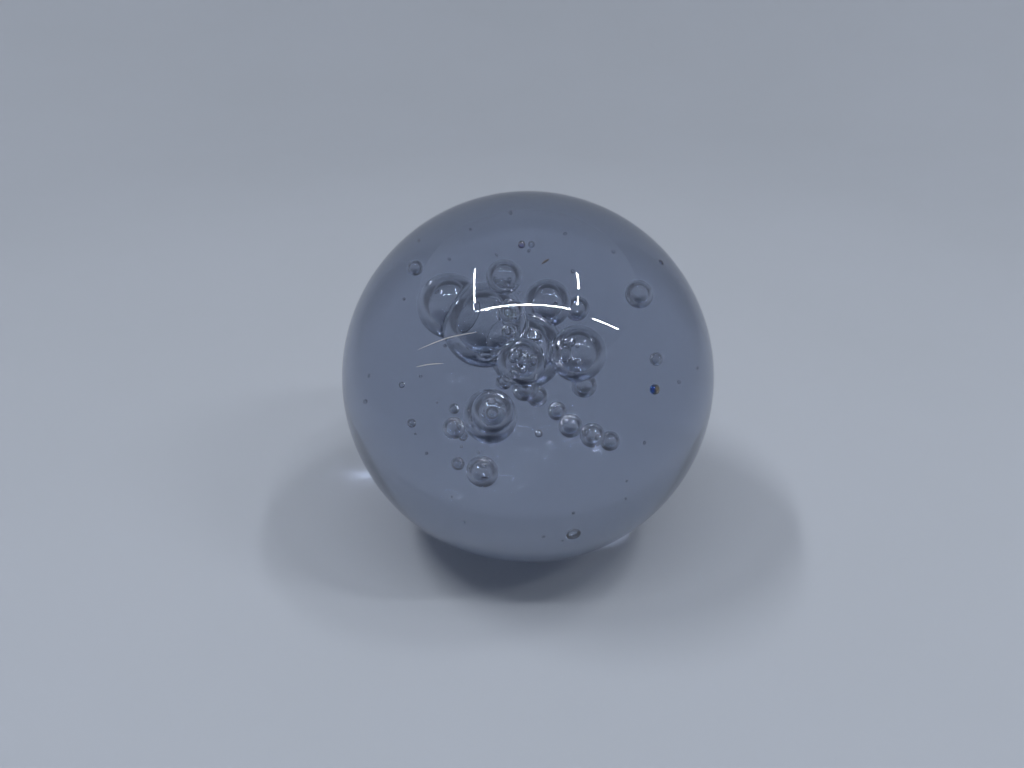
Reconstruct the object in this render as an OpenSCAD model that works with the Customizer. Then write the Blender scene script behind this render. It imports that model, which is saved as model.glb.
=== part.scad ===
// Paperweight: a solid ball of clear glass with air bubbles caught inside it.
// The ball stands on a flat ground under it. The front of the ball faces -Y.
// Lengths are in millimetres and turns in degrees.
// Each bubble is a closed pocket of air that fills its own hollow in the glass.

/* [Ball] */
// Width of the glass ball
ball_d = 80; // [72:0.5:100]
// Width of the flat ground under the ball
base_d = 24; // [12:0.5:36]
// Glass wall between bubbles that press together or sit side by side
film = 0.4; // [0.2:0.05:0.8]
// Glass over the bubble that lies closest under the surface
skin = 1; // [0.6:0.1:3]

/* [Top of the cluster] */
// Crown bubble: width
crown_d = 5.4; // [4.4:0.1:6.4]
// Crown bubble: right, back and up from the ball's middle
crown_at = [-3.6, 3.2, 15.6]; // [-30:0.2:30]
// Ridge bubble: width
ridge_d = 6.6; // [5.4:0.1:7.8]
// Ridge bubble: right, back and up from the ball's middle
ridge_at = [3, 13, 4.4]; // [-30:0.2:30]
// Saddle bubble, small, in front of the left one: width
saddle_d = 3.8; // [3:0.1:4.6]
// Saddle bubble: right, back and up from the ball's middle
saddle_at = [-2.6, -1.6, 12.6]; // [-30:0.2:30]
// Notch bubble, over the middle one: width
notch_d = 2.4; // [1.8:0.1:3]
// Notch bubble: right, back and up from the ball's middle
notch_at = [-2.8, -1.8, 9]; // [-30:0.2:30]
// Far bubble, right of the ridge: width
far_d = 3.2; // [2.4:0.1:4]
// Far bubble: right, back and up from the ball's middle
far_at = [7, 18.4, 0]; // [-30:0.2:30]

/* [Sides of the cluster] */
// Left bubble: width
left_d = 12.4; // [11:0.1:13.8]
// Left bubble: right, back and up from the ball's middle
left_at = [-6.2, 4.8, 6]; // [-30:0.2:30]
// Shoulder bubble, pressed flat against the left one: width
shoulder_d = 9.4; // [8:0.1:10.8]
// Shoulder bubble: right, back and up from the ball's middle
shoulder_at = [-11, 8, 7.2]; // [-30:0.2:30]
// Right bubble: width
right_d = 8.4; // [7:0.1:9.8]
// Right bubble: right, back and up from the ball's middle
right_at = [7.4, 0.4, 3.8]; // [-30:0.2:30]

/* [Heart of the cluster] */
// Middle bubble, in front: width
middle_d = 7.4; // [6:0.1:8.8]
// Middle bubble: right, back and up from the ball's middle
middle_at = [-1, -6, 6.2]; // [-30:0.2:30]
// Rear bubble, behind the middle one: width
rear_d = 10.8; // [9.4:0.1:12.2]
// Rear bubble: right, back and up from the ball's middle
rear_at = [0, 5.8, 1]; // [-30:0.2:30]

/* [Chin of the cluster] */
// Chin bubble: width
chin_d = 3.8; // [3:0.1:4.6]
// Chin bubble: right, back and up from the ball's middle
chin_at = [-0.4, -3, -0.2]; // [-30:0.2:30]
// Left chin bubble: width
chin_left_d = 2.4; // [1.8:0.1:3]
// Left chin bubble: right, back and up from the ball's middle
chin_left_at = [-3.4, -0.2, -0.6]; // [-30:0.2:30]
// Right chin bubble: width
chin_right_d = 3.6; // [2.8:0.1:4.4]
// Right chin bubble: right, back and up from the ball's middle
chin_right_at = [8.2, 5.4, -4.4]; // [-30:0.2:30]
// Low chin bubble: width
chin_low_d = 3; // [2.2:0.1:3.8]
// Low chin bubble: right, back and up from the ball's middle
chin_low_at = [1.6, 10, -8.8]; // [-30:0.2:30]

/* [Low pair and its followers] */
// Low bubble: width
low_d = 8.2; // [6.8:0.1:9.6]
// Low bubble: right, back and up from the ball's middle
low_at = [-5.6, -5.4, -3.6]; // [-30:0.2:30]
// Low front bubble: width
low_front_d = 6.6; // [5.4:0.1:7.8]
// Low front bubble: right, back and up from the ball's middle
low_front_at = [-5.6, -13.4, 1.6]; // [-30:0.2:30]
// Follower, on the left of the low bubble: width
follower_d = 3.4; // [2.6:0.1:4.2]
// Follower: right, back and up from the ball's middle
follower_at = [-11.2, -8.8, -3.8]; // [-30:0.2:30]
// Lower follower: width
follower_low_d = 1.4; // [1:0.1:1.8]
// Lower follower: right, back and up from the ball's middle
follower_low_at = [-9.4, -4.2, -7.6]; // [-30:0.2:30]
// Upper follower: width
follower_high_d = 1.6; // [1.2:0.1:2]
// Upper follower: right, back and up from the ball's middle
follower_high_at = [-11, -5.6, -2.2]; // [-30:0.2:30]

/* [Foot pair] */
// Foot bubble, low in front: width
foot_d = 5.2; // [4:0.1:6.4]
// Foot bubble: right, back and up from the ball's middle
foot_at = [-7.4, -19.6, -6]; // [-30:0.2:30]
// Toe bubble, beside the foot: width
toe_d = 2.2; // [1.6:0.1:2.8]
// Toe bubble: turn from the front and climb, seen from the foot bubble
toe_turn = [-102, 14]; // [-180:1:180]

/* [Chain] */
// First bubble of the chain: width
chain_1_d = 2.8; // [2.2:0.1:3.4]
// First bubble of the chain: right, back and up from the ball's middle
chain_1_at = [4.4, -5.2, -2.8]; // [-30:0.2:30]
// Second bubble of the chain: width
chain_2_d = 3.6; // [2.8:0.1:4.4]
// Second bubble: turn from the front and climb, seen from the first
chain_2_turn = [35, -16]; // [-180:1:180]
// Third bubble of the chain: width
chain_3_d = 3.8; // [3:0.1:4.6]
// Third bubble: turn from the front and climb, seen from the second
chain_3_turn = [55, -5]; // [-180:1:180]
// Fourth bubble of the chain: width
chain_4_d = 3; // [2.2:0.1:3.8]
// Fourth bubble: turn from the front and climb, seen from the third
chain_4_turn = [128, -32]; // [-180:1:180]
// Lone bubble, left of the chain: width
lone_d = 1.2; // [0.8:0.1:1.6]
// Lone bubble: right, back and up from the ball's middle
lone_at = [1.6, -11.2, -3.4]; // [-30:0.2:30]

/* [Outlying bubbles] */
// East bubble, high on the right: width
east_d = 4.4; // [3.4:0.1:5.4]
// East bubble: turn from the front, climb, and distance from the ball's middle
east_out = [98.5, 37.5, 21.4]; // [-180:0.1:180]
// Bubble on the right at mid height: width
east_mid_d = 2; // [1.4:0.1:2.6]
// Bubble on the right at mid height: turn from the front, climb, and distance from the ball's middle
east_mid_out = [88, 10.5, 19.4]; // [-180:0.1:180]
// Bubble on the right, lower: width
east_low_d = 1.6; // [1.2:0.1:2]
// Bubble on the right, lower: turn from the front, climb, and distance from the ball's middle
east_low_out = [71.5, 4.5, 20.4]; // [-180:0.1:180]
// West bubble, high on the left: width
west_d = 2.2; // [1.6:0.1:2.8]
// West bubble: turn from the front, climb, and distance from the ball's middle
west_out = [-130, 26.5, 22.7]; // [-180:0.1:180]
// Bubble on the left at mid height: width
west_mid_d = 0.9; // [0.6:0.1:1.2]
// Bubble on the left at mid height: turn from the front, climb, and distance from the ball's middle
west_mid_out = [-86.5, -2, 18.6]; // [-180:0.1:180]
// Bubble on the left, lower: width
west_low_d = 1.4; // [1:0.1:1.8]
// Bubble on the left, lower: turn from the front, climb, and distance from the ball's middle
west_low_out = [-67, -11, 19.5]; // [-180:0.1:180]
// Twin bubble, at the back near the top: width
twin_d = 1; // [0.7:0.1:1.3]
// Twin bubble: turn from the front, climb, and distance from the ball's middle
twin_out = [-178, 33.5, 20.3]; // [-180:0.1:180]
// Second twin, on the right of the first: width
twin_right_d = 0.9; // [0.6:0.1:1.2]
// Bubble low in front: width
base_bubble_d = 2.6; // [2:0.1:3.2]
// Bubble low in front: turn from the front, climb, and glass over it
base_bubble_under = [16.5, -31, 7.4]; // [-180:0.1:180]
// Rim bubble, close under the surface: width
rim_d = 1.2; // [0.8:0.1:1.6]
// Rim bubble: turn from the front and climb
rim_turn = [77, 48]; // [-180:0.5:180]

/* [Seeds] */
// Width of the tiny bubbles
seed_d = 0.6; // [0.4:0.1:0.9]

/* [Hidden] */
ball_r = ball_d / 2;
middle_z = sqrt(pow(ball_r, 2) - pow(base_d / 2, 2));

// Unit step: turned from the front (-Y) towards the right, then raised
function heading(turn, climb) = [sin(turn) * cos(climb), -cos(turn) * cos(climb), sin(climb)];

// Place from the ball's middle, where o holds the turn, the climb and the distance
function out(o) = heading(o[0], o[1]) * o[2];

// Place under the surface, where u holds the turn, the climb and the glass over the bubble
function under(u, d) = heading(u[0], u[1]) * (ball_r - u[2] - d / 2);

// Place one film away from a bubble of width d_there at p
function beside(p, d_there, d, turn, climb) = p + heading(turn, climb) * (d_there / 2 + film + d / 2);

toe_at = beside(foot_at, foot_d, toe_d, toe_turn[0], toe_turn[1]);
chain_2_at = beside(chain_1_at, chain_1_d, chain_2_d, chain_2_turn[0], chain_2_turn[1]);
chain_3_at = beside(chain_2_at, chain_2_d, chain_3_d, chain_3_turn[0], chain_3_turn[1]);
chain_4_at = beside(chain_3_at, chain_3_d, chain_4_d, chain_4_turn[0], chain_4_turn[1]);
twin_at = out(twin_out);
twin_right_at = beside(twin_at, twin_d, twin_right_d, 90, 0);
rim_under = [rim_turn[0], rim_turn[1], skin];

// Flats shallower than this are left out
sliver = 0.01;

// Name, width and place from the ball's middle
bubbles = [
    ["left_bubble", left_d, left_at],
    ["shoulder_bubble", shoulder_d, shoulder_at],
    ["rear_bubble", rear_d, rear_at],
    ["right_bubble", right_d, right_at],
    ["middle_bubble", middle_d, middle_at],
    ["ridge_bubble", ridge_d, ridge_at],
    ["saddle_bubble", saddle_d, saddle_at],
    ["crown_bubble", crown_d, crown_at],
    ["far_bubble", far_d, far_at],
    ["notch_bubble", notch_d, notch_at],
    ["chin_bubble", chin_d, chin_at],
    ["chin_left_bubble", chin_left_d, chin_left_at],
    ["chin_right_bubble", chin_right_d, chin_right_at],
    ["chin_low_bubble", chin_low_d, chin_low_at],
    ["low_bubble", low_d, low_at],
    ["low_front_bubble", low_front_d, low_front_at],
    ["follower_bubble", follower_d, follower_at],
    ["follower_low_bubble", follower_low_d, follower_low_at],
    ["follower_high_bubble", follower_high_d, follower_high_at],
    ["foot_bubble", foot_d, foot_at],
    ["toe_bubble", toe_d, toe_at],
    ["chain_bubble_1", chain_1_d, chain_1_at],
    ["chain_bubble_2", chain_2_d, chain_2_at],
    ["chain_bubble_3", chain_3_d, chain_3_at],
    ["chain_bubble_4", chain_4_d, chain_4_at],
    ["lone_bubble", lone_d, lone_at],
    ["east_bubble", east_d, out(east_out)],
    ["east_mid_bubble", east_mid_d, out(east_mid_out)],
    ["east_low_bubble", east_low_d, out(east_low_out)],
    ["west_bubble", west_d, out(west_out)],
    ["west_mid_bubble", west_mid_d, out(west_mid_out)],
    ["west_low_bubble", west_low_d, out(west_low_out)],
    ["twin_bubble", twin_d, twin_at],
    ["twin_right_bubble", twin_right_d, twin_right_at],
    ["base_bubble", base_bubble_d, under(base_bubble_under, base_bubble_d)],
    ["rim_bubble", rim_d, under(rim_under, rim_d)],
];

// Tiny bubbles scattered in the glass: right, back and up from the ball's middle
seeds = [
    ["seeds_top", [[-11, 12, 12.5], [0.5, 20.5, 7.5], [-4.5, 9, 15.5], [13, 6, 18.5], [6.5, 12.5, 10],
        [-1.5, -5.5, 18.5], [-2, 19.5, 14], [-9, 6.5, 23], [5.5, 12, 17]]],
    ["seeds_left", [[-15, 5.5, -3], [-24.5, -3, 2], [-18, -14.5, -2], [-15, -7, -9], [-22, 5.5, -7],
        [-14.5, -14, 3.5], [-13, -7.5, 10], [-19.5, -0.5, 14.5], [-16, 12, 16.5], [-13.5, 12, 24.5]]],
    ["seeds_front", [[-10.5, -20.5, -15.5], [-13, -25.5, -8.5], [-10.5, -15.5, -3.5], [-7.5, -10.5, -7],
        [7.5, -29, -10], [2.5, -23.5, -17], [6, -30, -16.5]]],
    ["seeds_right", [[18, -12.5, -4.5], [16, -21, -7.5], [15, -13, -14], [26, -1.5, 2.5], [21.5, 3, -2.5]]],
];

glass_colour = [0.74, 0.78, 0.88, 0.35];
air_colour = [0.92, 0.95, 1, 0.5];
$fn = 64;

// How far the middle of a bubble of width d lies from the flat wall that it shares with one of
// width d_there, where their middles are this far apart
function to_wall(d, d_there, apart) = (apart + (pow(d, 2) - pow(d_there, 2)) / (4 * apart) - film) / 2;

// Turn of a step about an axis, counted from the axis's low side
function turn_about(axis, step) =
    let (around = atan2(axis[1], axis[0]), lean = acos(axis[2] / norm(axis)))
    let (low = [cos(lean) * cos(around), cos(lean) * sin(around), -sin(lean)])
    atan2(step * [-sin(around), cos(around), 0], step * low);

// Of these turns, the one that lies farthest from all the turns given
tries = [for (turn = [0:5:355]) turn];
function room(turn, turns) = min([for (other = turns) acos(cos(turn - other))]);
function clear_turn(turns) =
    len(turns) == 0 ? 0 :
    let (rooms = [for (turn = tries) room(turn, turns)])
    tries[search(max(rooms), rooms)[0]];

// Leans what it holds until its top faces along the step
module facing(step) {
    rotate([0, acos(step[2] / norm(step)), atan2(step[1], step[0])]) children();
}

// Round pocket of width d, at p from the ball's middle, flattened where a bubble other than
// number own comes closer than one film. Its pole faces the first of those bubbles, and its
// seam, from pole to pole, keeps off the other flats.
module pocket(d, p, own) {
    pressing = [for (k = [0:len(bubbles) - 1])
        if (k != own && norm(bubbles[k][2] - p) < (d + bubbles[k][1]) / 2 + film - sliver) k];
    steps = [for (k = pressing) bubbles[k][2] - p];
    pole = len(steps) > 0 ? steps[0] : [0, 0, 1];
    turns = [for (step = steps) if (step != pole) turn_about(pole, step)];
    translate(p + [0, 0, middle_z])
        difference() {
            facing(pole) rotate(clear_turn(turns)) sphere(d = d);
            for (k = pressing) {
                step = bubbles[k][2] - p;
                facing(step)
                    translate([-ball_r, -ball_r, to_wall(d, bubbles[k][1], norm(step))])
                        cube(ball_d);
            }
        }
}

module bubble_air(k) {
    pocket(bubbles[k][1], bubbles[k][2], k);
}

module seed_air(p) {
    pocket(seed_d, p, -1);
}

module bubble(k) {
    color(air_colour) bubble_air(k);
}

module seed_group(s) {
    color(air_colour)
        for (p = s[1]) seed_air(p);
}

module glass_ball() {
    color(glass_colour)
        difference() {
            translate([0, 0, middle_z]) sphere(r = ball_r);
            // the flat that the ball stands on
            translate([0, 0, -ball_r]) cube(ball_d, center = true);
            for (k = [0:len(bubbles) - 1]) bubble_air(k);
            for (s = seeds) for (p = s[1]) seed_air(p);
        }
}

glass_ball();
for (k = [0:len(bubbles) - 1]) {
    bubble(k);
}
for (s = seeds) {
    seed_group(s);
}
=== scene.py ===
import math

import bmesh
import bpy
import numpy as np
from mathutils import Matrix, Vector


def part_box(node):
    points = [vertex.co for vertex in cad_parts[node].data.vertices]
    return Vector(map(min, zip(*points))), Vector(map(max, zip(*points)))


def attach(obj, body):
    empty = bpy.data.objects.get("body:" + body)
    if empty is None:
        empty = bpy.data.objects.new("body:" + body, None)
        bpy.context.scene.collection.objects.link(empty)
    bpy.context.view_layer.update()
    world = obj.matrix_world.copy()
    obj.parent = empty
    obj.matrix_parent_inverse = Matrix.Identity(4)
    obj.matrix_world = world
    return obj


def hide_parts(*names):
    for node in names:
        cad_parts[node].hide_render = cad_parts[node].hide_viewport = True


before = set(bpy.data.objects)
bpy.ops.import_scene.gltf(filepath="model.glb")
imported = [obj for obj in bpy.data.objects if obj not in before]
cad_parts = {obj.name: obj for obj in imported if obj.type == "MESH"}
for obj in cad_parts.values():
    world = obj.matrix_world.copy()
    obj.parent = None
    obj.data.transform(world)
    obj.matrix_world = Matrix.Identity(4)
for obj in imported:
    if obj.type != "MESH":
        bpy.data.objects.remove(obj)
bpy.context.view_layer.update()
scene = bpy.context.scene
millimetre = 0.001
print("frame loaded,", len(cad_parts), "nodes")

scene.view_settings.view_transform = "Standard"
# light crosses many walls of glass and air before it leaves the ball
scene.cycles.max_bounces = 40
scene.cycles.transmission_bounces = 40
scene.cycles.glossy_bounces = 24
scene.cycles.diffuse_bounces = 3
scene.cycles.blur_glossy = 0
scene.cycles.caustics_reflective = False
# the ball throws focused light on the floor under it, and that light isn't cut short
scene.cycles.caustics_refractive = True
scene.cycles.sample_clamp_indirect = 0


# measuring the frame

def pointsOf(nodeName):
    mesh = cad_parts[nodeName].data
    flat = np.zeros(len(mesh.vertices) * 3)
    mesh.vertices.foreach_get("co", flat)
    return flat.reshape(-1, 3)


def fitSphere(points):
    # least squares: |p|^2 = 2 c.p + (r^2 - |c|^2)
    middle = points.mean(axis=0)
    shifted = points - middle
    table = np.hstack([2 * shifted, np.ones((len(points), 1))])
    solved = np.linalg.lstsq(table, (shifted ** 2).sum(axis=1), rcond=None)[0]
    radius = math.sqrt(solved[3] + solved[:3] @ solved[:3])
    return middle + solved[:3], radius


wallTest = {
    "deepest": 0.975,                   # a flat's distance from the middle, as a share of the radius
    "sameWay": 0.999,                   # cosine between the directions of two faces of one flat
    "leastArea": 0.1,                   # as a share of the radius squared
}


def flatWalls(nodeName, middle, radius):
    # faces that lie well inside the sphere belong to the flats, one per pressing neighbour
    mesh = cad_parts[nodeName].data
    found = []
    for face in mesh.polygons:
        normal = np.array(face.normal)
        reach = normal @ (np.array(mesh.vertices[face.vertices[0]].co) - middle)
        if reach > wallTest["deepest"] * radius:
            continue
        same = [wall for wall in found if wall["normal"] @ normal > wallTest["sameWay"]]
        if same:
            same[0]["area"] += face.area
        else:
            found.append({"normal": normal, "reach": reach, "area": face.area})
    return [wall for wall in found if wall["area"] > wallTest["leastArea"] * radius ** 2]


skinShare = 0.985                       # the ball's own surface lies beyond this share of its radius


def outerSphere(nodeName):
    # the ball's own surface, without the walls of the bubbles in it
    points = pointsOf(nodeName)
    low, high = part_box(nodeName)
    roughRadius = (high.x - low.x) / 2
    roughMiddle = np.array([(low.x + high.x) / 2, (low.y + high.y) / 2, high.z - roughRadius])
    reach = np.linalg.norm(points - roughMiddle, axis=1)
    return fitSphere(points[reach > skinShare * roughRadius])


ballMiddle, ballRadius = outerSphere("glass_ball")
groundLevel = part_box("glass_ball")[0].z
print("ball:", round(ballRadius / millimetre, 2), "mm radius")


# helpers

def meshObject(name, points, faces, material):
    mesh = bpy.data.meshes.new(name)
    mesh.from_pydata([tuple(p) for p in points], [], [tuple(f) for f in faces])
    mesh.materials.append(material)
    mesh.shade_smooth()
    mesh.update()
    thing = bpy.data.objects.new(name, mesh)
    scene.collection.objects.link(thing)
    return thing


def camelName(nodeName):
    first, *rest = nodeName.split("_")
    return first + "".join(word.capitalize() for word in rest)


def handIn(piece, nodeName):
    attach(piece, "root")
    if nodeName:
        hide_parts(nodeName)


def emptyMaterial(name):
    material = bpy.data.materials.new(name)
    material.use_nodes = True
    material.node_tree.nodes.clear()
    return material, material.node_tree


def addNode(tree, kind, **settings):
    node = tree.nodes.new(kind)
    for name, value in settings.items():
        setattr(node, name, value)
    return node


def setInputs(node, **values):
    for name, value in values.items():
        node.inputs[name.replace("_", " ")].default_value = value


def colourSockets(sockets):
    return [socket for socket in sockets if socket.type == "RGBA"]


# finishes

polishGrain = {
    "patchDetail": 6,
    "waveDetail": 1,
    "roughness": 0.6,
    "hazeStart": 0.55,                  # patch values where the haze starts and where it is full
    "hazeFull": 0.8,
}


def makeHandPolish(grain):
    # faint clouding, haze and waviness of a surface that was shaped and polished by hand
    tree = bpy.data.node_groups.new("handPolish", "ShaderNodeTree")
    tree.interface.new_socket("Tint", in_out="INPUT", socket_type="NodeSocketColor")
    for name in ("Patch Size", "Clouding", "Haze", "Wave Size"):
        tree.interface.new_socket(name, in_out="INPUT", socket_type="NodeSocketFloat")
    tree.interface.new_socket("Colour", in_out="OUTPUT", socket_type="NodeSocketColor")
    for name in ("Roughness", "Height"):
        tree.interface.new_socket(name, in_out="OUTPUT", socket_type="NodeSocketFloat")
    given = addNode(tree, "NodeGroupInput")
    result = addNode(tree, "NodeGroupOutput")
    place = addNode(tree, "ShaderNodeTexCoord")
    links = tree.links

    def noiseOf(sizeName, detail):
        scale = addNode(tree, "ShaderNodeMath", operation="DIVIDE")
        scale.inputs[0].default_value = 1
        links.new(given.outputs[sizeName], scale.inputs[1])
        noise = addNode(tree, "ShaderNodeTexNoise")
        setInputs(noise, Detail=detail, Roughness=grain["roughness"])
        links.new(place.outputs["Object"], noise.inputs["Vector"])
        links.new(scale.outputs[0], noise.inputs["Scale"])
        return noise.outputs["Fac"]

    patches = noiseOf("Patch Size", grain["patchDetail"])
    haze = addNode(tree, "ShaderNodeMapRange")
    setInputs(haze, From_Min=grain["hazeStart"], From_Max=grain["hazeFull"], To_Min=0)
    links.new(patches, haze.inputs["Value"])
    links.new(given.outputs["Haze"], haze.inputs["To Max"])
    cloud = addNode(tree, "ShaderNodeMath", operation="MULTIPLY")
    links.new(patches, cloud.inputs[0])
    links.new(given.outputs["Clouding"], cloud.inputs[1])
    clear = addNode(tree, "ShaderNodeMath", operation="SUBTRACT")
    clear.inputs[0].default_value = 1
    links.new(cloud.outputs[0], clear.inputs[1])
    colour = addNode(tree, "ShaderNodeVectorMath", operation="SCALE")
    links.new(given.outputs["Tint"], colour.inputs[0])
    links.new(clear.outputs[0], colour.inputs["Scale"])
    links.new(colour.outputs[0], result.inputs["Colour"])
    links.new(haze.outputs["Result"], result.inputs["Roughness"])
    links.new(noiseOf("Wave Size", grain["waveDetail"]), result.inputs["Height"])
    return tree


handPolish = makeHandPolish(polishGrain)


def polishNodes(tree, shader, colourName, look):
    polish = addNode(tree, "ShaderNodeGroup", node_tree=handPolish, name="polish")
    setInputs(polish, Tint=look["tint"], Patch_Size=look["patchSize"], Clouding=look["clouding"])
    setInputs(polish, Haze=look["haze"], Wave_Size=look["waveSize"])
    bump = addNode(tree, "ShaderNodeBump")
    setInputs(bump, Strength=1, Distance=look["waveDepth"])
    tree.links.new(polish.outputs["Height"], bump.inputs["Height"])
    tree.links.new(bump.outputs["Normal"], shader.inputs["Normal"])
    tree.links.new(polish.outputs["Colour"], shader.inputs[colourName])
    tree.links.new(polish.outputs["Roughness"], shader.inputs["Roughness"])


toneGrain = {"detail": 4, "roughness": 0.6}


def makeTwoTone(grain):
    # a pale and a dull tone in soft patches
    tree = bpy.data.node_groups.new("twoTone", "ShaderNodeTree")
    tree.interface.new_socket("Patch Size", in_out="INPUT", socket_type="NodeSocketFloat")
    for name in ("Pale", "Dull"):
        tree.interface.new_socket(name, in_out="INPUT", socket_type="NodeSocketColor")
    tree.interface.new_socket("Colour", in_out="OUTPUT", socket_type="NodeSocketColor")
    given = addNode(tree, "NodeGroupInput")
    result = addNode(tree, "NodeGroupOutput")
    place = addNode(tree, "ShaderNodeTexCoord")
    scale = addNode(tree, "ShaderNodeMath", operation="DIVIDE")
    scale.inputs[0].default_value = 1
    noise = addNode(tree, "ShaderNodeTexNoise")
    setInputs(noise, Detail=grain["detail"], Roughness=grain["roughness"])
    tones = addNode(tree, "ShaderNodeMix", data_type="RGBA")
    fromTone, toTone = colourSockets(tones.inputs)
    links = tree.links
    links.new(given.outputs["Patch Size"], scale.inputs[1])
    links.new(place.outputs["Object"], noise.inputs["Vector"])
    links.new(scale.outputs[0], noise.inputs["Scale"])
    links.new(noise.outputs["Fac"], tones.inputs["Factor"])
    links.new(given.outputs["Pale"], fromTone)
    links.new(given.outputs["Dull"], toTone)
    links.new(colourSockets(tones.outputs)[0], result.inputs["Colour"])
    return tree


twoTone = makeTwoTone(toneGrain)


def makeTwoToneFinish(name, look):
    material, tree = emptyMaterial(name)
    tones = addNode(tree, "ShaderNodeGroup", node_tree=twoTone)
    setInputs(tones, Patch_Size=look["patchSize"], Pale=look["pale"], Dull=look["dull"])
    shader = addNode(tree, "ShaderNodeBsdfPrincipled")
    setInputs(shader, Roughness=look["roughness"], Specular_IOR_Level=look["shine"])
    out = addNode(tree, "ShaderNodeOutputMaterial")
    tree.links.new(tones.outputs["Colour"], shader.inputs["Base Color"])
    tree.links.new(shader.outputs["BSDF"], out.inputs["Surface"])
    return material


glassFinish = {
    "ior": 1.5,
    "tint": (0.50, 0.545, 0.65, 1),
    "depthTint": (0.72, 0.75, 0.80, 1),
    "depth": 18,                        # the larger, the more the tint deepens with thickness
    "patchSize": 9 * millimetre,
    "clouding": 0.05,
    "haze": 0.02,
    "waveSize": 14 * millimetre,
    "waveDepth": 0.002 * millimetre,
}


def makeClearGlass(look):
    material, tree = emptyMaterial("clearGlass")
    shader = addNode(tree, "ShaderNodeBsdfPrincipled")
    setInputs(shader, Transmission_Weight=1, IOR=look["ior"])
    polishNodes(tree, shader, "Base Color", look)
    depth = addNode(tree, "ShaderNodeVolumeAbsorption")
    setInputs(depth, Color=look["depthTint"], Density=look["depth"])
    out = addNode(tree, "ShaderNodeOutputMaterial")
    tree.links.new(shader.outputs["BSDF"], out.inputs["Surface"])
    tree.links.new(depth.outputs["Volume"], out.inputs["Volume"])
    return material


airFinish = {
    "ior": 1 / glassFinish["ior"],      # from glass into air
    "tint": (1, 1, 1, 1),
    "patchSize": 3 * millimetre,
    "clouding": 0.04,
    "haze": 0.01,
    "waveSize": 4 * millimetre,
    "waveDepth": 0.001 * millimetre,
}


def makeAirWall(name, look):
    material, tree = emptyMaterial(name)
    shader = addNode(tree, "ShaderNodeBsdfGlass")
    setInputs(shader, IOR=look["ior"])
    polishNodes(tree, shader, "Color", look)
    out = addNode(tree, "ShaderNodeOutputMaterial")
    tree.links.new(shader.outputs["BSDF"], out.inputs["Surface"])
    return material


paintedGlint = {
    "fullAt": 0.5,                      # share of the radius where a side has its full colour
    # a bubble with a painted rainbow glint: the colour painted on its cold side, on its warm side, and the
    # way from one to the other
    "east_low_bubble": ((0.12, 0.32, 0.80, 1), (1.0, 0.85, 0.60, 1), (1, 0, 0)),
    "rim_bubble": ((0.45, 0.80, 1.0, 1), (1.0, 0.50, 0.75, 1), (0.7, 0, 0.7)),
    "twin_bubble": ((0.68, 0.68, 1.0, 1), (1.0, 0.93, 0.85, 1), (0, 0, 1)),
}


# painted glint: the wall's tint runs from a cold colour on one side to a warm one on the other, in place of
# light split by the glass
def makePaintedGlintWall(nodeName, look):
    cold, warm, way = look[nodeName]
    middle, radius = fitSphere(pointsOf(nodeName))
    full = look["fullAt"] * radius
    material = makeAirWall(camelName(nodeName) + "Wall", airFinish)
    tree = material.node_tree
    place = addNode(tree, "ShaderNodeTexCoord")
    offset = addNode(tree, "ShaderNodeVectorMath", operation="SUBTRACT")
    offset.inputs[1].default_value = middle
    along = addNode(tree, "ShaderNodeVectorMath", operation="DOT_PRODUCT")
    along.inputs[1].default_value = way
    share = addNode(tree, "ShaderNodeMapRange")
    setInputs(share, From_Min=-full, From_Max=full)
    sides = addNode(tree, "ShaderNodeMix", data_type="RGBA")
    coldSide, warmSide = colourSockets(sides.inputs)
    coldSide.default_value = cold
    warmSide.default_value = warm
    tree.links.new(place.outputs["Object"], offset.inputs[0])
    tree.links.new(offset.outputs[0], along.inputs[0])
    tree.links.new(along.outputs["Value"], share.inputs["Value"])
    tree.links.new(share.outputs["Result"], sides.inputs["Factor"])
    tree.links.new(colourSockets(sides.outputs)[0], tree.nodes["polish"].inputs["Tint"])
    return material


clearGlass = makeClearGlass(glassFinish)
airWall = makeAirWall("airWall", airFinish)
print("finishes made")


# glass ball

ballShape = {
    "segments": 256,
    "rings": 180,
    "groundRings": 12,
    "arris": 0.4 * millimetre,          # rounding where the ground flat meets the ball
    "arrisSteps": 6,
}


def ballProfile(shape):
    # distance from the axis and height, from the middle of the flat up to the top
    rise = ballMiddle[2] - groundLevel
    arris = shape["arris"]
    # the rounding's own middle keeps one arris radius off both the flat and the ball
    inset = math.sqrt((ballRadius - arris) ** 2 - (rise - arris) ** 2)
    lean = math.atan2(inset, rise - arris)      # from straight down to where the rounding ends
    profile = []
    for k in range(1, shape["groundRings"] + 1):
        profile.append((inset * k / shape["groundRings"], groundLevel))
    for k in range(1, shape["arrisSteps"] + 1):
        turn = lean * k / shape["arrisSteps"]
        profile.append((inset + arris * math.sin(turn), groundLevel + arris * (1 - math.cos(turn))))
    for k in range(1, shape["rings"]):
        turn = lean + (math.pi - lean) * k / shape["rings"]
        profile.append((ballRadius * math.sin(turn), ballMiddle[2] - ballRadius * math.cos(turn)))
    return profile


def makeBall(shape):
    profile = ballProfile(shape)
    count = shape["segments"]
    points = [(ballMiddle[0], ballMiddle[1], groundLevel)]
    for away, height in profile:
        for k in range(count):
            turn = math.tau * k / count
            right = ballMiddle[0] + away * math.cos(turn)
            back = ballMiddle[1] + away * math.sin(turn)
            points.append((right, back, height))
    points.append((ballMiddle[0], ballMiddle[1], ballMiddle[2] + ballRadius))
    faces = []
    top = len(points) - 1
    lastRing = 1 + (len(profile) - 1) * count
    for k in range(count):
        following = (k + 1) % count
        faces.append((0, 1 + following, 1 + k))
        faces.append((top, lastRing + k, lastRing + following))
        for ring in range(len(profile) - 1):
            here = 1 + ring * count
            faces.append((here + k, here + following, here + count + following, here + count + k))
    return meshObject("glassBall", points, faces, clearGlass)


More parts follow.
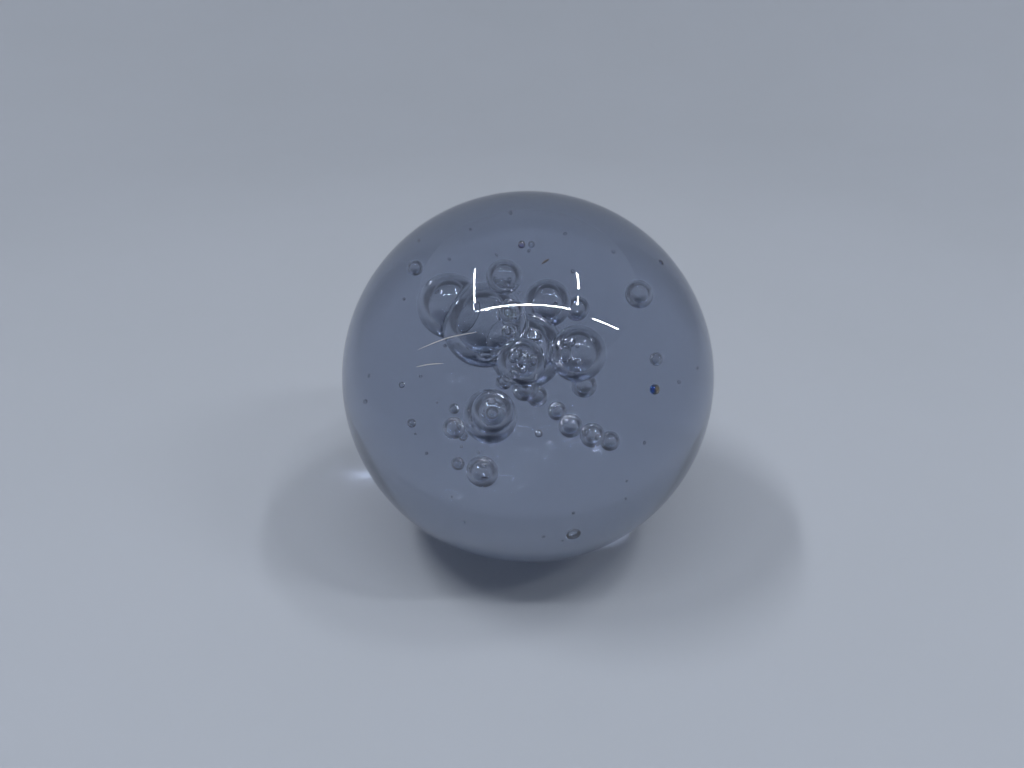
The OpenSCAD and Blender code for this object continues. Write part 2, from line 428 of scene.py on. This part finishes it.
glassBall = makeBall(ballShape)
handIn(glassBall, "glass_ball")
print("glass ball made,", len(glassBall.data.polygons), "faces")


# bubbles

bubbleShape = {
    "softness": 48,                     # the larger, the sharper the rim of a flat
    # how finely the round is divided: on bubbles with flats, without, and on small ones
    "pressedLevel": 6,
    "level": 5,
    "smallLevel": 4,
    "smallRadius": 1.3 * millimetre,
}


def roundSteps(level):
    shape = bmesh.new()
    bmesh.ops.create_icosphere(shape, subdivisions=level, radius=1)
    steps = np.array([v.co for v in shape.verts])
    faces = [[v.index for v in f.verts] for f in shape.faces]
    shape.free()
    return steps, faces


levelNames = ("pressedLevel", "level", "smallLevel")
unitSpheres = {bubbleShape[name]: roundSteps(bubbleShape[name]) for name in levelNames}


def bubbleReach(steps, radius, walls, softness):
    # soft minimum of the round wall and the flats, so that a flat runs into the round in a soft rim
    inverse = np.full(len(steps), radius ** -1.0) ** softness
    for wall in walls:
        towards = np.clip(steps @ wall["normal"], 0, None)
        inverse += (towards / wall["reach"]) ** softness
    return inverse ** (-1 / softness)


def makeBubble(nodeName, shape):
    middle, radius = fitSphere(pointsOf(nodeName))
    walls = flatWalls(nodeName, middle, radius)
    level = shape["pressedLevel"] if walls else shape["level"]
    if radius < shape["smallRadius"]:
        level = shape["smallLevel"]
    steps, faces = unitSpheres[level]
    steps = steps / np.linalg.norm(steps, axis=1)[:, None]
    reach = bubbleReach(steps, radius, walls, shape["softness"])
    finish = makePaintedGlintWall(nodeName, paintedGlint) if nodeName in paintedGlint else airWall
    return meshObject(camelName(nodeName), middle + steps * reach[:, None], faces, finish)


bubbleNames = [name for name in sorted(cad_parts) if "bubble" in name]
for name in bubbleNames:
    handIn(makeBubble(name, bubbleShape), name)
print(len(bubbleNames), "bubbles made")


# pieces grown by Geometry Nodes

def newTree(name, inputs):
    tree = bpy.data.node_groups.new(name, "GeometryNodeTree")
    tree.interface.new_socket("Geometry", in_out="INPUT", socket_type="NodeSocketGeometry")
    for title, kind in inputs.items():
        tree.interface.new_socket(title, in_out="INPUT", socket_type="NodeSocket" + kind)
    tree.interface.new_socket("Geometry", in_out="OUTPUT", socket_type="NodeSocketGeometry")
    return tree, addNode(tree, "NodeGroupInput"), addNode(tree, "NodeGroupOutput")


def finishTree(tree, grown, result, material):
    real = addNode(tree, "GeometryNodeRealizeInstances")
    smooth = addNode(tree, "GeometryNodeSetShadeSmooth")
    finish = addNode(tree, "GeometryNodeSetMaterial")
    setInputs(finish, Material=material)
    tree.links.new(grown, real.inputs["Geometry"])
    tree.links.new(real.outputs["Geometry"], smooth.inputs["Geometry"])
    tree.links.new(smooth.outputs["Geometry"], finish.inputs["Geometry"])
    tree.links.new(finish.outputs["Geometry"], result.inputs["Geometry"])


def growPiece(name, points, edges, tree, values):
    start = bpy.data.meshes.new(name + "Start")
    start.from_pydata([tuple(p) for p in points], edges, [])
    piece = bpy.data.objects.new(name, start)
    scene.collection.objects.link(piece)
    modifier = piece.modifiers.new("grow", "NODES")
    modifier.node_group = tree
    for socket in tree.interface.items_tree:
        if socket.name in values and socket.in_out == "INPUT":
            modifier[socket.identifier] = values[socket.name]
    graph = bpy.context.evaluated_depsgraph_get()
    grown = bpy.data.meshes.new_from_object(piece.evaluated_get(graph))
    piece.modifiers.clear()
    piece.data = grown
    grown.name = name
    return piece


# seeds, the finest bubbles

seedShape = {
    "leastShare": 0.55,                 # of the full size, along each of a seed's three widths
    "steps": 3,
    "seed": 4,
    "reach": 1 * millimetre,            # the points of one seed lie closer together than this
}


def makeSeedTree(shape):
    sizes = {"Seed Size": "Float", "Least Share": "Float", "Seed": "Int"}
    tree, given, result = newTree("seedScatter", sizes)
    half = addNode(tree, "ShaderNodeMath", operation="MULTIPLY")
    half.inputs[1].default_value = 0.5
    grain = addNode(tree, "GeometryNodeMeshIcoSphere")
    setInputs(grain, Subdivisions=shape["steps"])
    widths = addNode(tree, "FunctionNodeRandomValue", data_type="FLOAT_VECTOR")
    turns = addNode(tree, "FunctionNodeRandomValue", data_type="FLOAT_VECTOR")
    turns.inputs[1].default_value = (math.tau, math.tau, math.tau)
    scatter = addNode(tree, "GeometryNodeInstanceOnPoints")
    links = tree.links
    links.new(given.outputs["Seed Size"], half.inputs[0])
    links.new(half.outputs[0], grain.inputs["Radius"])
    links.new(given.outputs["Least Share"], widths.inputs[0])
    links.new(given.outputs["Seed"], widths.inputs["Seed"])
    links.new(given.outputs["Seed"], turns.inputs["Seed"])
    links.new(given.outputs["Geometry"], scatter.inputs["Points"])
    links.new(grain.outputs["Mesh"], scatter.inputs["Instance"])
    links.new(widths.outputs[0], scatter.inputs["Scale"])
    links.new(turns.outputs[0], scatter.inputs["Rotation"])
    finishTree(tree, scatter.outputs["Instances"], result, airWall)
    return tree


def seedMiddles(nodeName, shape):
    groups = []
    for point in pointsOf(nodeName):
        mine = [group for group in groups if np.linalg.norm(group[0] - point) < shape["reach"]]
        if mine:
            mine[0].append(point)
        else:
            groups.append([point])
    lows = [np.min(group, axis=0) for group in groups]
    highs = [np.max(group, axis=0) for group in groups]
    size = max((high - low).max() for low, high in zip(lows, highs))
    return [(low + high) / 2 for low, high in zip(lows, highs)], size


seedTree = makeSeedTree(seedShape)
seedNames = [name for name in sorted(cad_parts) if name.startswith("seeds")]
for number, name in enumerate(seedNames):
    middles, size = seedMiddles(name, seedShape)
    values = {"Seed Size": size, "Least Share": seedShape["leastShare"], "Seed": seedShape["seed"] + number}
    handIn(growPiece(camelName(name), middles, [], seedTree, values), name)
    print(name, len(middles), "seeds of", round(size / millimetre, 2), "mm")


# hair scratches in the polish

scratchShape = {
    "width": 0.16 * millimetre,
    "steps": 48,
    "sides": 8,
    # each scratch in three places on the ball: turn to the right of the front and climb, in degrees
    "paths": [
        ((-36.5, 32.2), (-27.5, 37.2), (-17.8, 40.2)),
        ((-35.2, 28), (-31, 29.7), (-26.4, 30.9)),
    ],
    "pale": (0.86, 0.80, 0.74, 1),
    "dull": (0.50, 0.46, 0.44, 1),
    "patchSize": 1.5 * millimetre,
    "roughness": 0.5,
    "shine": 0.5,
}


def onBall(turn, climb):
    turn = math.radians(turn)
    climb = math.radians(climb)
    level = ballRadius * math.cos(climb)
    return ballMiddle + (level * math.sin(turn), -level * math.cos(turn), ballRadius * math.sin(climb))


# a mark's thickness is an arch from end to end, kept over the least and then raised to the power
markTaper = {"least": 0.02, "power": 0.5}


def makeMarkTree(name, shape, taper):
    sizes = {"Ball Middle": "Vector", "Ball Radius": "Float", "Width": "Float"}
    tree, given, result = newTree(name + "Lines", sizes)
    links = tree.links

    def vectorStep(operation, first, second=None):
        step = addNode(tree, "ShaderNodeVectorMath", operation=operation)
        links.new(first, step.inputs[0])
        if second:
            links.new(second, step.inputs["Scale"] if operation == "SCALE" else step.inputs[1])
        return step.outputs[0]

    def mathStep(operation, first, second):
        step = addNode(tree, "ShaderNodeMath", operation=operation)
        links.new(first, step.inputs[0])
        step.inputs[1].default_value = second
        return step.outputs[0]

    line = addNode(tree, "GeometryNodeMeshToCurve")
    rounded = addNode(tree, "GeometryNodeCurveSplineType", spline_type="CATMULL_ROM")
    finer = addNode(tree, "GeometryNodeResampleCurve")
    setInputs(finer, Count=shape["steps"])
    links.new(given.outputs["Geometry"], line.inputs["Mesh"])
    links.new(line.outputs["Curve"], rounded.inputs["Curve"])
    links.new(rounded.outputs["Curve"], finer.inputs["Curve"])

    # every step is laid on the ball
    spot = addNode(tree, "GeometryNodeInputPosition")
    middle = given.outputs["Ball Middle"]
    outward = vectorStep("NORMALIZE", vectorStep("SUBTRACT", spot.outputs[0], middle))
    reach = vectorStep("SCALE", outward, given.outputs["Ball Radius"])
    onSurface = vectorStep("ADD", reach, middle)
    laid = addNode(tree, "GeometryNodeSetPosition")
    links.new(finer.outputs["Curve"], laid.inputs["Geometry"])
    links.new(onSurface, laid.inputs["Position"])

    along = addNode(tree, "GeometryNodeSplineParameter")
    arch = mathStep("SINE", mathStep("MULTIPLY", along.outputs["Factor"], math.pi), 0)
    thickness = mathStep("POWER", mathStep("MAXIMUM", arch, taper["least"]), taper["power"])
    ring = addNode(tree, "GeometryNodeCurvePrimitiveCircle")
    setInputs(ring, Resolution=shape["sides"])
    links.new(mathStep("MULTIPLY", given.outputs["Width"], 0.5), ring.inputs["Radius"])
    tube = addNode(tree, "GeometryNodeCurveToMesh")
    tube.inputs["Fill Caps"].default_value = True
    links.new(laid.outputs["Geometry"], tube.inputs["Curve"])
    links.new(ring.outputs["Curve"], tube.inputs["Profile Curve"])
    links.new(thickness, tube.inputs["Scale"])
    finishTree(tree, tube.outputs["Mesh"], result, makeTwoToneFinish(name + "Finish", shape))
    return tree


def makeMarks(name, shape):
    points = []
    edges = []
    for path in shape["paths"]:
        first = len(points)
        points += [onBall(*place) for place in path]
        edges += [(first + k, first + k + 1) for k in range(len(path) - 1)]
    values = {"Ball Middle": tuple(ballMiddle), "Ball Radius": ballRadius, "Width": shape["width"]}
    return growPiece(name, points, edges, makeMarkTree(name, shape, markTaper), values)


handIn(makeMarks("hairScratches", scratchShape), None)
print(len(scratchShape["paths"]), "scratches made")

# a brown fleck caught in the skin of the glass
fleckShape = {
    "width": 0.4 * millimetre,
    "steps": 16,
    "sides": 8,
    "paths": [((5.4, 60), (7.7, 60.9), (9.9, 61.5))],
    "pale": (0.13, 0.12, 0.12, 1),
    "dull": (0.06, 0.05, 0.045, 1),
    "patchSize": 0.5 * millimetre,
    "roughness": 0.5,
    "shine": 0.3,
}

handIn(makeMarks("brownFleck", fleckShape), None)
print("fleck made")


# stage, light and camera

stageShape = {
    "flat": 0.35,                       # radius of the level floor, which bends up into a wall all round
    "flatRings": (0.1, 0.4, 1),         # shares of that radius
    "drop": 0.1 * millimetre,           # keeps the floor clear of the ball's flat
    "bend": 0.5,
    "wallTop": 0.62,
    "segments": 96,
    "bendSteps": 24,
    "pale": (0.47, 0.50, 0.56, 1),
    "dull": (0.44, 0.47, 0.52, 1),
    "patchSize": 0.12,
    "roughness": 0.7,
    "shine": 0.2,
    # painted shade that only the glass sees: a darker tone beside and before it, outside of a wedge that
    # opens towards the back
    "shade": (0.25, 0.26, 0.29, 1),
    "wedge": 0.6,                       # half width gained for each metre towards the back
    "shadeStart": 0.06,
    "shadeEnd": 0.24,
}


def makeSweepPaper(shape):
    material = makeTwoToneFinish("sweepPaper", shape)
    tree = material.node_tree
    links = tree.links
    shader = tree.nodes["Principled BSDF"]
    tones = shader.inputs["Base Color"].links[0].from_socket
    # painted shade: for glossy and transmission rays the paper's tone turns to the shade colour outside the
    # wedge
    place = addNode(tree, "ShaderNodeTexCoord")
    split = addNode(tree, "ShaderNodeSeparateXYZ")
    aside = addNode(tree, "ShaderNodeMath", operation="ABSOLUTE")
    outside = addNode(tree, "ShaderNodeMath", operation="MULTIPLY_ADD")
    outside.inputs[1].default_value = -shape["wedge"]
    share = addNode(tree, "ShaderNodeMapRange", interpolation_type="SMOOTHSTEP")
    setInputs(share, From_Min=shape["shadeStart"], From_Max=shape["shadeEnd"])
    sight = addNode(tree, "ShaderNodeLightPath")
    fromGlass = addNode(tree, "ShaderNodeMath", operation="ADD")
    factor = addNode(tree, "ShaderNodeMath", operation="MULTIPLY")
    shaded = addNode(tree, "ShaderNodeMix", data_type="RGBA")
    plain, shade = colourSockets(shaded.inputs)
    shade.default_value = shape["shade"]
    links.new(place.outputs["Object"], split.inputs[0])
    links.new(split.outputs["X"], aside.inputs[0])
    links.new(split.outputs["Y"], outside.inputs[0])
    links.new(aside.outputs[0], outside.inputs[2])
    links.new(outside.outputs[0], share.inputs["Value"])
    links.new(sight.outputs["Is Glossy Ray"], fromGlass.inputs[0])
    links.new(sight.outputs["Is Transmission Ray"], fromGlass.inputs[1])
    links.new(share.outputs["Result"], factor.inputs[0])
    links.new(fromGlass.outputs[0], factor.inputs[1])
    links.new(factor.outputs[0], shaded.inputs["Factor"])
    links.new(tones, plain)
    links.new(colourSockets(shaded.outputs)[0], shader.inputs["Base Color"])
    return material


def makeStage(shape):
    count = shape["segments"]
    profile = [(shape["flat"] * share, 0) for share in shape["flatRings"]]
    for k in range(1, shape["bendSteps"] + 1):
        turn = math.pi / 2 * k / shape["bendSteps"]
        away = shape["flat"] + shape["bend"] * math.sin(turn)
        profile.append((away, shape["bend"] * (1 - math.cos(turn))))
    profile.append((shape["flat"] + shape["bend"], shape["wallTop"]))
    points = [(0, 0, 0)]
    for away, height in profile:
        for k in range(count):
            turn = math.tau * k / count
            points.append((away * math.cos(turn), away * math.sin(turn), height))
    faces = []
    for k in range(count):
        following = (k + 1) % count
        faces.append((0, 1 + k, 1 + following))
        for ring in range(len(profile) - 1):
            here = 1 + ring * count
            faces.append((here + k, here + count + k, here + count + following, here + following))
    sweep = meshObject("sweep", points, faces, makeSweepPaper(shape))
    sweep.location.z = groundLevel - shape["drop"]


makeStage(stageShape)

lampShape = {
    "height": 1.0,                      # over the middle of the ball
    "colour": (0.96, 0.98, 1.0),
    # a strip is a bright thin line that shows in the gloss alone, and a wider panel that gives the light
    "lineWidth": 0.013,
    "lineGlow": 150,                    # light that it gives off, where 1 is white
    "panelWidth": 0.05,
    "panelGlow": 17.2,
    # both ends of each strip, right and back from the middle of the ball, and its share of the glow
    "strips": [
        ((-0.47, 0.18), (-0.54, -0.22), 3.1),
        ((-0.49, -0.34), (0.43, -0.35), 1.2),
        ((0.43, 0.1), (0.47, -0.08), 2.9),
        ((0.48, -0.17), (0.49, -0.28), 2.9),
        ((0.73, -0.4), (1.24, -0.4), 2.3),
    ],
}


def makeLamp(start, end, width, glow, shape):
    height = ballMiddle[2] + shape["height"]
    first = Vector((*start, height))
    last = Vector((*end, height))
    middle = (first + last) / 2
    along = (last - first).normalized()
    away = (middle - Vector(ballMiddle)).normalized()
    across = away.cross(along).normalized()
    away = along.cross(across)
    lamp = bpy.data.lights.new("strip", "AREA")
    lamp.shape = "RECTANGLE"
    lamp.size = (last - first).length
    lamp.size_y = width
    lamp.color = shape["colour"]
    lamp.energy = glow * math.pi * lamp.size * lamp.size_y
    thing = bpy.data.objects.new("strip", lamp)
    thing.matrix_world = Matrix.Translation(middle) @ Matrix((along, across, away)).transposed().to_4x4()
    thing.visible_camera = False
    scene.collection.objects.link(thing)
    return thing


def showInGlossOnly(lamp):
    # the lamp goes dark for light that has met the paper
    lamp.visible_diffuse = False
    lamp.data.use_nodes = True
    tree = lamp.data.node_tree
    sight = addNode(tree, "ShaderNodeLightPath")
    strength = addNode(tree, "ShaderNodeMapRange")
    setInputs(strength, To_Min=1, To_Max=0)
    tree.links.new(sight.outputs["Diffuse Depth"], strength.inputs["Value"])
    tree.links.new(strength.outputs["Result"], tree.nodes["Emission"].inputs["Strength"])


for start, end, share in lampShape["strips"]:
    showInGlossOnly(makeLamp(start, end, lampShape["lineWidth"], lampShape["lineGlow"], lampShape))
    panel = makeLamp(start, end, lampShape["panelWidth"], share * lampShape["panelGlow"], lampShape)
    panel.visible_glossy = False

skyShape = {
    # share of the way from level up to straight overhead, and the light there, where 1 is white
    "stops": [(0.0, 0.34), (0.62, 0.34), (0.74, 0.17), (1.0, 0.17)],
    "tint": (0.76, 0.84, 1.0),
    "frontShare": 0.15,                 # light from the front, as a share of that from the back
    # the front's light passes into the back's between these, where -1 is the front and 1 the back
    "frontEnd": -0.5,
    "backStart": 0.3,
}


def makeSky(shape):
    world = bpy.data.worlds.new("softSky")
    scene.world = world
    world.use_nodes = True
    tree = world.node_tree
    place = addNode(tree, "ShaderNodeTexCoord")
    split = addNode(tree, "ShaderNodeSeparateXYZ")
    ramp = addNode(tree, "ShaderNodeValToRGB")
    ramp.color_ramp.interpolation = "EASE"
    stops = ramp.color_ramp.elements
    for climb, light in shape["stops"][1:-1]:
        stops.new(climb)
    for stop, (climb, light) in zip(stops, shape["stops"]):
        stop.position = climb
        stop.color = [light * part for part in shape["tint"]] + [1]
    turn = addNode(tree, "ShaderNodeMapRange", interpolation_type="SMOOTHSTEP")
    setInputs(turn, From_Min=shape["frontEnd"], From_Max=shape["backStart"])
    setInputs(turn, To_Min=shape["frontShare"], To_Max=1)
    back = tree.nodes["Background"]
    tree.links.new(place.outputs["Generated"], split.inputs[0])
    tree.links.new(split.outputs["Z"], ramp.inputs["Fac"])
    tree.links.new(split.outputs["Y"], turn.inputs["Value"])
    tree.links.new(ramp.outputs["Color"], back.inputs["Color"])
    tree.links.new(turn.outputs["Result"], back.inputs["Strength"])


makeSky(skyShape)

photo = {
    "width": 1024,
    "height": 768,
    "focal": 796,                       # pixels
    "ballX": 527.2,
    "ballY": 377.3,
    "ballRadius": 186.2,
    "lookDown": 30,                     # degrees from level to the line of sight through the ball's middle
    "sensor": 36,                       # millimetres, as Blender's lens setting takes it
    "nearest": 0.01,
}


def makeCamera(view):
    aside = (view["ballX"] - view["width"] / 2) / view["focal"]
    below = (view["ballY"] - view["height"] / 2) / view["focal"]
    sight = Vector((aside, below, 1)).normalized()
    away = ballRadius / math.sin(math.atan(view["ballRadius"] / view["focal"]))
    pitch = math.radians(view["lookDown"]) - math.atan2(sight.y, sight.z)
    ahead = Vector((0, math.cos(pitch), -math.sin(pitch)))
    up = Vector((0, math.sin(pitch), math.cos(pitch)))
    right = Vector((1, 0, 0))
    towards = right * sight.x - up * sight.y + ahead * sight.z
    lens = bpy.data.cameras.new("camera")
    lens.sensor_width = view["sensor"]
    lens.lens = view["focal"] * view["sensor"] / view["width"]
    lens.clip_start = view["nearest"]
    camera = bpy.data.objects.new("camera", lens)
    turn = Matrix((right, up, -ahead)).transposed().to_4x4()
    camera.matrix_world = Matrix.Translation(Vector(ballMiddle) - towards * away) @ turn
    scene.collection.objects.link(camera)
    scene.camera = camera


makeCamera(photo)
print("stage, light and camera set")
